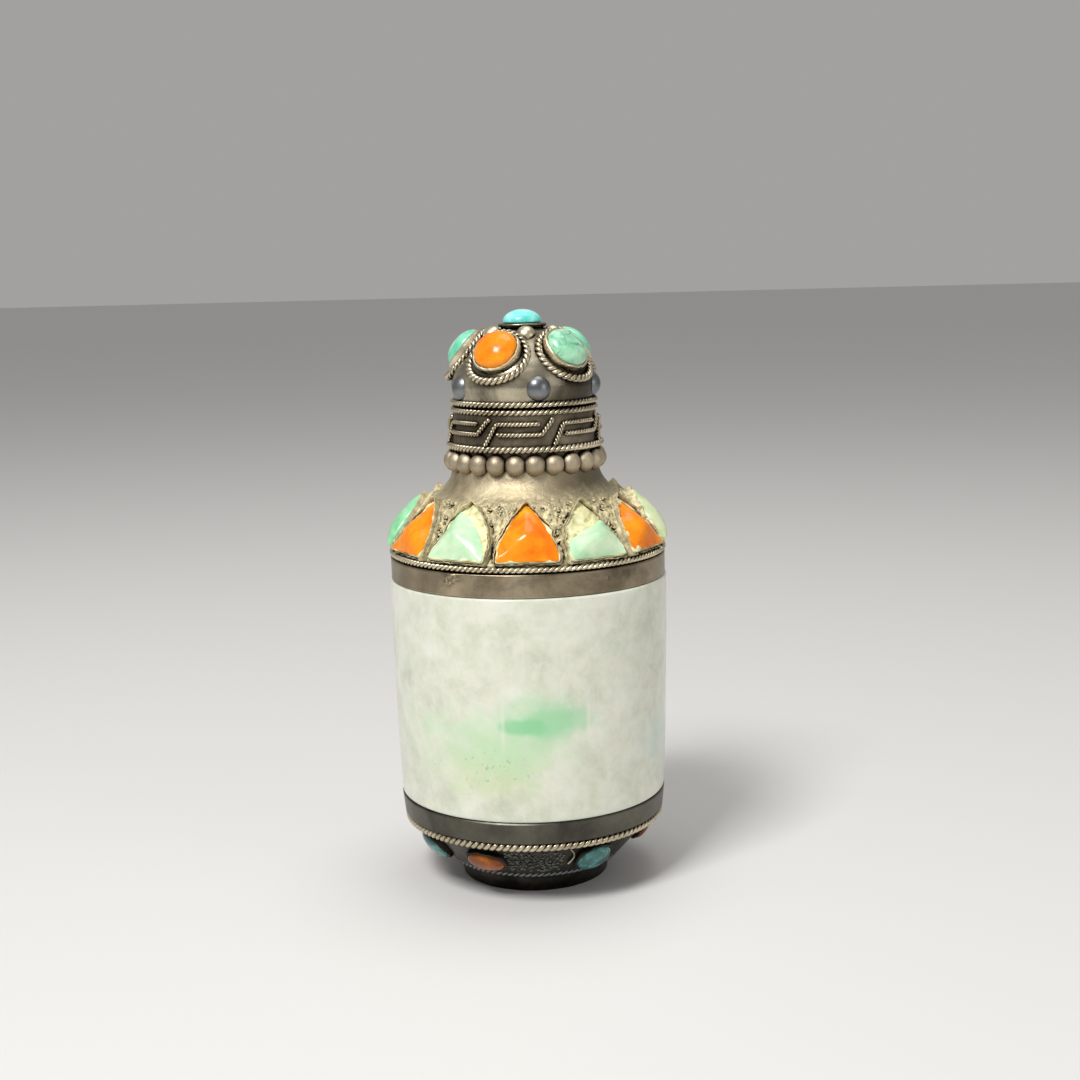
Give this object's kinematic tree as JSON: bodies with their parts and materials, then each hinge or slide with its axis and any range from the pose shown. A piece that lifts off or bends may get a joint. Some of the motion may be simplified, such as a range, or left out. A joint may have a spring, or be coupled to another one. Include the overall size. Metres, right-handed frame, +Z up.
{
  "type": "snuff bottle",
  "caption": "Small upright snuff bottle: a banded jade tube between silver foot and shoulder mounts set with coral and turquoise, closed by a domed lift-off cap.",
  "frame": {"origin": "centre of the foot ring's underside", "axes": "+Z up along the bottle, front towards -Y"},
  "size_m": [0.031, 0.031, 0.0641],
  "materials": {
    "jade": "polished, mottled pale grey-green stone",
    "silver": "aged silver, worn bright on high points and black in the recesses",
    "dark_silver": "dark tarnished silver",
    "coral": "polished orange coral",
    "turquoise": "pale green turquoise, slightly chalky",
    "bright_turquoise": "polished sky-blue turquoise"
  },
  "bodies": {
    "root": {"jade_body": "jade", "foot_mount": "dark_silver", "shoulder_mount": "silver", "cap": "silver", "cap_turquoise_top": "bright_turquoise", "foot_turquoise_1": "turquoise", "foot_coral_1": "coral", "foot_turquoise_2": "turquoise", "foot_coral_2": "coral", "foot_turquoise_3": "turquoise", "foot_coral_3": "coral", "foot_turquoise_4": "turquoise", "foot_coral_4": "coral", "shoulder_coral_1": "coral", "shoulder_turquoise_1": "turquoise", "shoulder_coral_2": "coral", "shoulder_turquoise_2": "turquoise", "shoulder_coral_3": "coral", "shoulder_turquoise_3": "turquoise", "shoulder_coral_4": "coral", "shoulder_turquoise_4": "turquoise", "shoulder_coral_5": "coral", "shoulder_turquoise_5": "turquoise", "shoulder_coral_6": "coral", "shoulder_turquoise_6": "turquoise", "cap_turquoise_1": "turquoise", "cap_coral_1": "coral", "cap_turquoise_2": "turquoise", "cap_coral_2": "coral", "cap_turquoise_3": "turquoise"}
  },
  "joints": []
}
